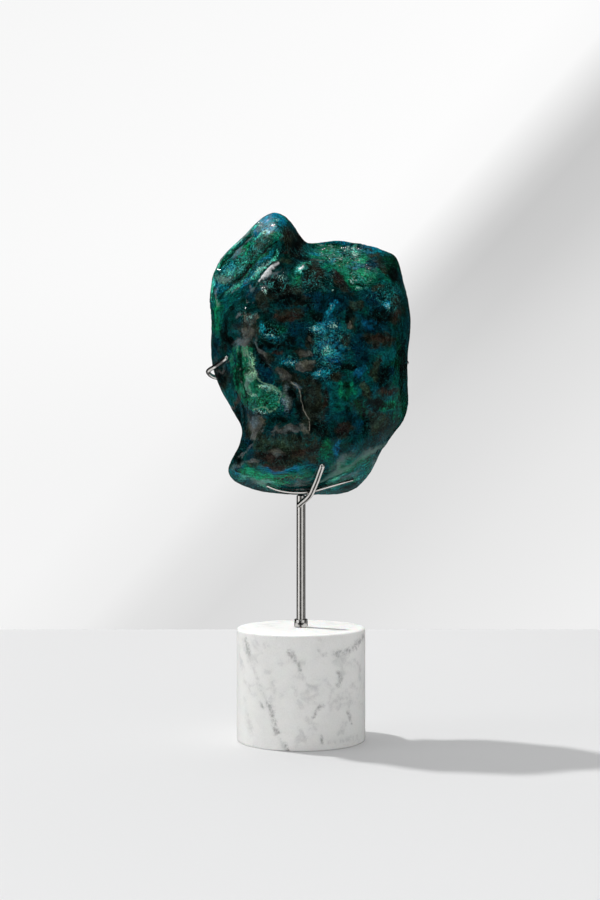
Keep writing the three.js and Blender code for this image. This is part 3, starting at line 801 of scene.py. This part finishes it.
# lines as the camera sees them: points, then half width in picture pixels
lines = {
    "vein": [([(291, 383), (299, 388), (302, 404), (308, 420), (309, 432)], 0.8)],
    "crack": [
        ([(220, 298), (232, 285), (244, 274), (252, 265), (267, 248), (277, 241)], 1.5),
        ([(219, 268), (233, 251), (251, 235)], 1.3), ([(240, 348), (241, 380), (247, 402)], 1.2),
        ([(350, 284), (365, 286)], 1.0), ([(254, 345), (260, 357), (268, 366)], 1.2),
        ([(236, 392), (243, 410), (244, 425)], 1.0)],
    # painted highlights on the lip and on the nodule's top
    "gleam": [
        ([(260, 282), (263, 279)], 1.6), ([(263, 279), (266, 275.5)], 2.9),
        ([(266, 275.5), (269.5, 271)], 3.8), ([(269.5, 271), (273, 267.5)], 2.8),
        ([(273, 267.5), (279, 263.5)], 1.5), ([(299.5, 269.5), (303, 268)], 1.5)],
    # the malachite's pale edge; its pale colour is partly a painted highlight
    "rim": [
        ([(248, 350), (251, 364), (254, 369), (258, 378.5), (265, 384.6), (274, 386), (281, 393),
          (279, 402)], 1.5),
        ([(253, 410), (259, 408), (265, 408), (270, 411.5), (277.6, 408)], 1.3)],
    "lip": [([(250, 286), (262, 281), (268, 272), (277, 263), (292, 262)], 3.6)],
    "brow": [([(304, 266), (316, 261), (330, 266), (344, 285)], 4.0)],
    "cheek": [([(246, 312), (254, 334), (262, 354), (276, 370), (296, 384), (306, 410)], 5.0)],
    # a low ridge along the lower right edge, with a painted reflection laid along it
    "hem": [([(318, 482), (350, 465), (388, 442)], 4.0)],
}


# grains of the stone: scale to the millimetre, detail, roughness
grains = {
    "ground": (0.045, 5.0, 0.6), "cloud": (0.17, 8.0, 0.7), "crumbs": (0.7, 6.0, 0.7),
    "drift": (0.12, 5.0, 0.6), "edge": (0.32, 6.0, 0.66), "fineEdge": (0.9, 4.0, 0.65),
    "streaks": (1.0, 6.0, 0.66), "speckle": (1.15, 3.0, 0.65), "spark": (1.5, 2.0, 0.6),
    "curl": (0.16, 3.0, 0.6), "dots": (1.1, 3.0, 0.6),
}
# where each part of the look fades in: from, to, and the least and most of it if they aren't 0 and 1
shows = {
    "banded": (-0.2, 0.5, 0.0, 0.85), "bluer": (0.36, 0.64), "mottle": (0.32, 0.70, 0.22, 1.85),
    "crumbs": (0.36, 0.66, 0.6, 1.45), "speckle": (0.40, 0.60, 0.3, 1.85), "speckled": (-0.8, 0.1, 0.45, 1.0),
    "lighter": (-0.3, 0.3), "hollow": (0.43, 0.56, 0.14, 1.1), "hollows": (-0.15, 0.6, 0.0, 0.8),
    "bright": (0.62, 0.69), "brights": (-0.2, 0.5, 0.0, 0.95), "spark": (0.66, 0.70),
    "sparks": (-0.4, 0.3, 0.1, 0.8), "thread": (0.0, 0.022, 1.0, 0.0), "threaded": (0.42, 0.6),
    "threads": (-0.3, 0.4, 0.12, 0.75), "crack": (-0.2, 0.8, 0.0, 0.8), "hem": (0.35, 1.0, 0.0, 0.5),
    "vein": (0.0, 0.9), "broken": (0.36, 0.56, 0.2, 0.8), "dull": (-0.5, 0.3, 0.0, 0.3),
    "rough": (0.3, 0.7, 0.04, 0.09), "grit": (-0.25, 0.4, 0.1, 1.0),
}
# what drifts has a scale, a reach in millimetres and a detail; a banded part has a tilt in degrees, then the
# length and the width of its streaks
stoneLook = {
    "gain": 1.34, "loose": (0.05, 14.0, 3.0), "curled": (0.2, 5.0, 3.0), "curlSeed": (3, 9, 27),
    "ground": [(0.35, (1, 30, 26)), (0.65, (3, 48, 52))], "edgeMiddle": 0.08,
    "edgeSeeds": ((0, 0, 0), (31, 7, 19), (11, 43, 5)),
    "bluer": (0.85, 0.97, 1.2, 1.0), "greener": (1.0, 1.05, 0.88, 1.0), "brightFleck": 0.06,
    "banded": {"streak": (46, 20.0, 1.6), "grainUp": (88, 30.0, 1.5), "level": (8, 22.0, 1.6)},
    "lighter": {"streak": 1.15, "level": 1.45},
    "cloudBump": 0.25, "bump": 0.8, "bumpDepth": 0.55 * mm, "ior": 1.5,
}
# colours laid over the rest; hem is the painted reflection along the lower right edge
laidOver = {"bright": (72, 204, 204), "spark": (150, 216, 204), "thread": (70, 190, 180), "crack": (0, 8, 8),
            "hem": (98, 132, 122), "vein": (150, 147, 134)}
# painted glints, painted soft reflections, the malachite's pale rim, partly a painted highlight, and painted
# highlights on the lip and the nodule
raggedOver = {                   # pale marks with a ragged edge
    "paintedGlints": {"colour": (172, 226, 212), "grain": "dots", "ragged": 5.0, "shows": (0.75, 1.05, 0.0, 0.95)},
    "sheen": {"colour": (118, 132, 132), "grain": "fineEdge", "ragged": 2.0, "shows": (-0.4, 1.1, 0.0, 0.55)},
    "rim": {"colour": (118, 162, 132), "grain": "fineEdge", "ragged": 4.0, "shows": (0.2, 0.8, 0.0, 0.7)},
    "gleam": {"colour": (250, 251, 251), "grain": "fineEdge", "ragged": 1.8, "shows": (0.0, 1.15, 0.0, 1.0)},
}


def stoneMaterial():
    material, tree, shader, at = newMaterial("chrysocolla")
    loose = warped(tree, at, *stoneLook["loose"])
    curled = warped(tree, loose, *stoneLook["curled"])
    cloud = grain(tree, curled, *grains["cloud"])
    crumbs = grain(tree, curled, *grains["crumbs"])
    drift = grain(tree, loose, *grains["drift"])
    fleck = drawn(tree, "fleck")

    def shown(name, value):
        return fade(tree, value, *shows[name])

    def times(a, b):
        return calc(tree, "MULTIPLY", a, b)

    def lay(under, cover, colour):
        return blendColour(tree, cover, under, paint(*colour))

    def streaks(tilt, along, across):         # grain drawn out along a line that leans by tilt degrees
        lean, drawnOut = (0, -math.radians(tilt), 0), (along, across * 2, across)
        leaning = wire(tree, "ShaderNodeMapping", {"Vector": loose, "Rotation": lean, "Scale": drawnOut},
                       vector_type="TEXTURE").outputs[0]
        return grain(tree, leaning, *grains["streaks"])

    # the colours one over another, each with its own ragged edge
    edges = []
    for seed in stoneLook["edgeSeeds"]:
        edges.append(evenGrain(tree, vectorCalc(tree, "ADD", curled, seed), *grains["edge"]))
    fineEdge = evenGrain(tree, at, *grains["fineEdge"])
    tone = ramp(tree, grain(tree, loose, *grains["ground"]), stoneLook["ground"])
    middle = stoneLook["edgeMiddle"]
    for turn, (label, part) in enumerate(paints.items()):
        edge = fineEdge if label in fineEdged else edges[turn % len(edges)]
        ragged = calc(tree, "MULTIPLY_ADD", edge, part["ragged"], drawn(tree, label))
        tone = lay(tone, fade(tree, ragged, middle - part["soft"], middle + part["soft"]), part["colour"])

    # light and dark within each colour: clouds, or streaks where the stone is banded
    mottle = cloud
    for label, band in stoneLook["banded"].items():
        share = shown("banded", drawn(tree, label))
        mottle = wire(tree, "ShaderNodeMix", {0: share, 2: mottle, 3: streaks(*band)}).outputs[0]
    greener, bluer = (tinted(tree, tone, stoneLook[tint]) for tint in ("greener", "bluer"))
    tone = blendColour(tree, shown("bluer", drift), greener, bluer)
    light = times(shown("mottle", mottle), shown("crumbs", crumbs))
    tone = tinted(tree, tone, times(light, stoneLook["gain"]))

    # fine speckle, strongest where the stone is lively, and two parts that are lighter as a whole
    speckle = shown("speckle", grain(tree, at, *grains["speckle"]))
    tone = blendColour(tree, shown("speckled", fleck), tone, tinted(tree, tone, speckle))
    for label, lift in stoneLook["lighter"].items():
        tone = tinted(tree, tone, fade(tree, drawn(tree, label), *shows["lighter"], 1.0, lift))

    # dark hollows, bright flecks, curling threads and cracks
    hollow = tinted(tree, tone, shown("hollow", crumbs))
    tone = blendColour(tree, shown("hollows", fleck), tone, hollow)
    bright = shown("bright", calc(tree, "MULTIPLY_ADD", fleck, stoneLook["brightFleck"], crumbs))
    tone = lay(tone, times(bright, shown("brights", fleck)), laidOver["bright"])
    spark = shown("spark", grain(tree, at, *grains["spark"]))
    tone = lay(tone, times(spark, shown("sparks", fleck)), laidOver["spark"])
    curl = evenGrain(tree, vectorCalc(tree, "ADD", curled, stoneLook["curlSeed"]), *grains["curl"])
    thread = times(shown("thread", calc(tree, "ABSOLUTE", curl)), shown("threaded", drift))
    tone = lay(tone, times(thread, shown("threads", fleck)), laidOver["thread"])
    tone = lay(tone, shown("crack", drawn(tree, "crack")), laidOver["crack"])

    # painted glints, painted soft reflections and painted highlights, the malachite's pale rim, partly a
    # painted highlight, the painted reflection along the hem, and the winding vein over all
    paleEdges = {"dots": evenGrain(tree, at, *grains["dots"]), "fineEdge": fineEdge}
    for label, part in raggedOver.items():
        ragged = calc(tree, "MULTIPLY_ADD", paleEdges[part["grain"]], part["ragged"], drawn(tree, label))
        tone = lay(tone, fade(tree, ragged, *part["shows"]), part["colour"])
    tone = lay(tone, shown("hem", drawn(tree, "hem")), laidOver["hem"])
    tone = lay(tone, times(shown("broken", crumbs), shown("vein", drawn(tree, "vein"))), laidOver["vein"])

    # polish, duller on the taupe, and grit on the crust
    rough = calc(tree, "ADD", shown("dull", drawn(tree, "taupe")), shown("rough", cloud))
    grit = times(shown("grit", drawn(tree, "crust")), crumbs)
    height = calc(tree, "MULTIPLY_ADD", cloud, stoneLook["cloudBump"], grit)
    bump = wire(tree, "ShaderNodeBump", {"Height": height, "Strength": stoneLook["bump"],
                                         "Distance": stoneLook["bumpDepth"]})
    feed(tree, shader, Base_Color=tone, Roughness=rough, Normal=bump.outputs[0], IOR=stoneLook["ior"])
    return material


def roundedTree():
    tree, given = newTree("roundedStone", {"Levels": int, "Smoothing": int, "Finish": bpy.types.Material})
    fine = wire(tree, "GeometryNodeSubdivisionSurface", {"Mesh": given["Geometry"], "Level": given["Levels"]})
    place = tree.nodes.new("GeometryNodeInputPosition").outputs[0]
    blurred = wire(tree, "GeometryNodeBlurAttribute", data_type="FLOAT_VECTOR")
    tree.links.new(place, next(s for s in blurred.inputs if s.enabled and s.name == "Value"))
    tree.links.new(given["Smoothing"], blurred.inputs["Iterations"])
    soft = next(s for s in blurred.outputs if s.enabled)
    moved = wire(tree, "GeometryNodeSetPosition", {"Geometry": fine.outputs[0], "Position": soft}).outputs[0]
    smooth = wire(tree, "GeometryNodeSetShadeSmooth", {0: moved}).outputs[0]
    endTree(tree, smooth, given["Finish"])
    return tree


chrysocolla = stoneMaterial()
print("materials: chrysocolla")
stoneMesh = frame["nodes"]["stone"].data.copy()
work = bmesh.new()
work.from_mesh(stoneMesh)
bmesh.ops.remove_doubles(work, verts=work.verts, dist=stone["weld"])
work.to_mesh(stoneMesh)
work.free()
stoneMesh.materials.clear()
specimen = bpy.data.objects.new("chrysocolla_stone", stoneMesh)
scene.collection.objects.link(specimen)
bakeNodes(specimen, roundedTree(), {"Levels": stone["levels"], "Smoothing": stone["smoothing"],
                                    "Finish": chrysocolla})

# finer faces along the drawn lines and in the two busiest areas
points, square = readPoints(specimen)
seenU, seenV = pictureOf(points)
near = markField(seenU, seenV, fineAreas)
for label in fineLines:
    widened = [(path, stone["fineReach"]) for path, width in lines[label]]
    near = np.maximum(near, lineField(seenU, seenV, widened))
chosen = (near > 0) & (square > stone["fineFacing"])
work = bmesh.new()
work.from_mesh(specimen.data)
inside = [edge for edge in work.edges if all(chosen[vert.index] for vert in edge.verts)]
bmesh.ops.subdivide_edges(work, edges=inside, cuts=1, use_grid_fill=True, smooth=0.0)
bmesh.ops.triangulate(work, faces=[face for face in work.faces if len(face.verts) > 4])
for face in work.faces:
    face.smooth = True
work.to_mesh(specimen.data)
work.free()
specimen.data.update()

points, square = readPoints(specimen)
facing = softStep(*stone["facing"], square)
print("stone:", len(points), "points")

seenU, seenV = pictureOf(points)
u, v = seenU, seenV
for step in stone["wander"]:
    u, v = wander(points, u, v, *step)
lineU, lineV = wander(points, seenU, seenV, *stone["lineWander"])


def spread(label, seed, behind):         # a mark's field in front, and clouds of it on the sides and the back
    cloud = cloudField(points, stone["behindScale"], stone["behindSeed"] + seed)
    around = behind + stone["behindReach"] * cloud
    return np.clip(around * (1 - facing) + markField(u, v, marks[label]) * facing, -1, 1)


for seed, (label, part) in enumerate(paints.items()):
    edge = stone["edgeReach"] * cloudField(points, stone["edgeScale"], stone["edgeSeed"] + seed)
    keepField(specimen, label, spread(label, seed, part["behind"]) + edge)
for seed, (label, behind) in enumerate(behindGrain.items()):
    keepField(specimen, label, spread(label, stone["grainSeed"] + seed, behind))
for label, placed in lines.items():
    keepField(specimen, label, np.clip(lineField(lineU, lineV, placed) * facing - (1 - facing), -1, 1))
belt = np.clip(1 - np.abs(seenV - chin["v"]) / chin["half"], 0, 1)
swell = belt * softStep(*chin["right"], seenU) * softStep(*chin["left"], seenU) * facing
keepField(specimen, "chin", softStep(0, 1, swell))
print("stone: marks placed")

# how far each form stands out from the skin; the chin moves towards the camera
relief = {"Ripple": 1.8 * mm, "Crust": 2.8 * mm, "Crack": -0.8 * mm, "Lip": 1.8 * mm, "Brow": 1.7 * mm,
          "Cheek": 1.6 * mm, "Hem": 0.8 * mm, "Chin": -4.0 * mm}
reliefGrains = {"ripple": (0.07, 3.0, 0.5), "crumb": (0.26, 3.0, 0.65)}
reliefShows = {"crust": (-0.3, 0.4), "crack": (-0.8, 0.9)}


def reliefTree():
    heights = {label: float for label in relief}
    tree, given = newTree("stoneRelief", {**heights, "Finish": bpy.types.Material})
    place = scaled(tree, tree.nodes.new("GeometryNodeInputPosition").outputs[0], 1 / mm)
    normal = tree.nodes.new("GeometryNodeInputNormal").outputs[0]
    ripple = evenGrain(tree, place, *reliefGrains["ripple"])
    crumb = evenGrain(tree, place, *reliefGrains["crumb"])
    crusty = calc(tree, "MULTIPLY", crumb, fade(tree, named(tree, "crust"), *reliefShows["crust"]))
    height = calc(tree, "MULTIPLY", ripple, given["Ripple"])
    height = calc(tree, "MULTIPLY_ADD", crusty, given["Crust"], height)
    cracked = fade(tree, named(tree, "crack"), *reliefShows["crack"])
    height = calc(tree, "MULTIPLY_ADD", cracked, given["Crack"], height)
    for label in ("Lip", "Brow", "Cheek", "Hem"):
        swelling = fade(tree, named(tree, label.lower()), 0.0, 1.0)
        height = calc(tree, "MULTIPLY_ADD", swelling, given[label], height)
    forward = calc(tree, "MULTIPLY", named(tree, "chin"), given["Chin"])
    forward = wire(tree, "ShaderNodeCombineXYZ", {"Y": forward}).outputs[0]
    offset = vectorCalc(tree, "ADD", scaled(tree, normal, height), forward)
    moved = wire(tree, "GeometryNodeSetPosition", {"Geometry": given["Geometry"], "Offset": offset})
    endTree(tree, moved.outputs[0], given["Finish"])
    return tree


bakeNodes(specimen, reliefTree(), {**relief, "Finish": chrysocolla})
settle(specimen, "chrysocolla", "stone")


# which pieces each light reaches, and which of them cast its shadows

def gather(label, *groups):
    group = bpy.data.collections.new(label)
    for name in groups:
        for piece in litPieces[name].objects:
            group.objects.link(piece)
    return group


lamps["key"].light_linking.receiver_collection = gather("keyLit", "chrysocolla", "steel")
for label in ("glint", "lipPanel"):
    lamps[label].light_linking.receiver_collection = litPieces["chrysocolla"]
lamps["floorKey"].light_linking.receiver_collection = gather("floorLit", "stage")
lamps["marbleKey"].light_linking.receiver_collection = gather("marbleLit", "marble")

# the marble's key passes the stone, so that the base's top shows the post's shadow alone
shading = gather("marbleShaded", "marble")
for piece in (upright, ring):
    shading.objects.link(piece)
lamps["marbleKey"].light_linking.blocker_collection = shading

for label, lamp in cards.items():
    lit = gather(label + "Lit", "steel")
    for piece in list(lit.objects):      # the cradle shows the front card alone, which no other piece shows
        if (piece.name == "cradle_wire") != (label == "tableFront"):
            lit.objects.unlink(piece)
    lamp.light_linking.receiver_collection = lit
    lamp.light_linking.blocker_collection = gather(label + "Shaded", "steel", "chrysocolla")
print("lights: linked")
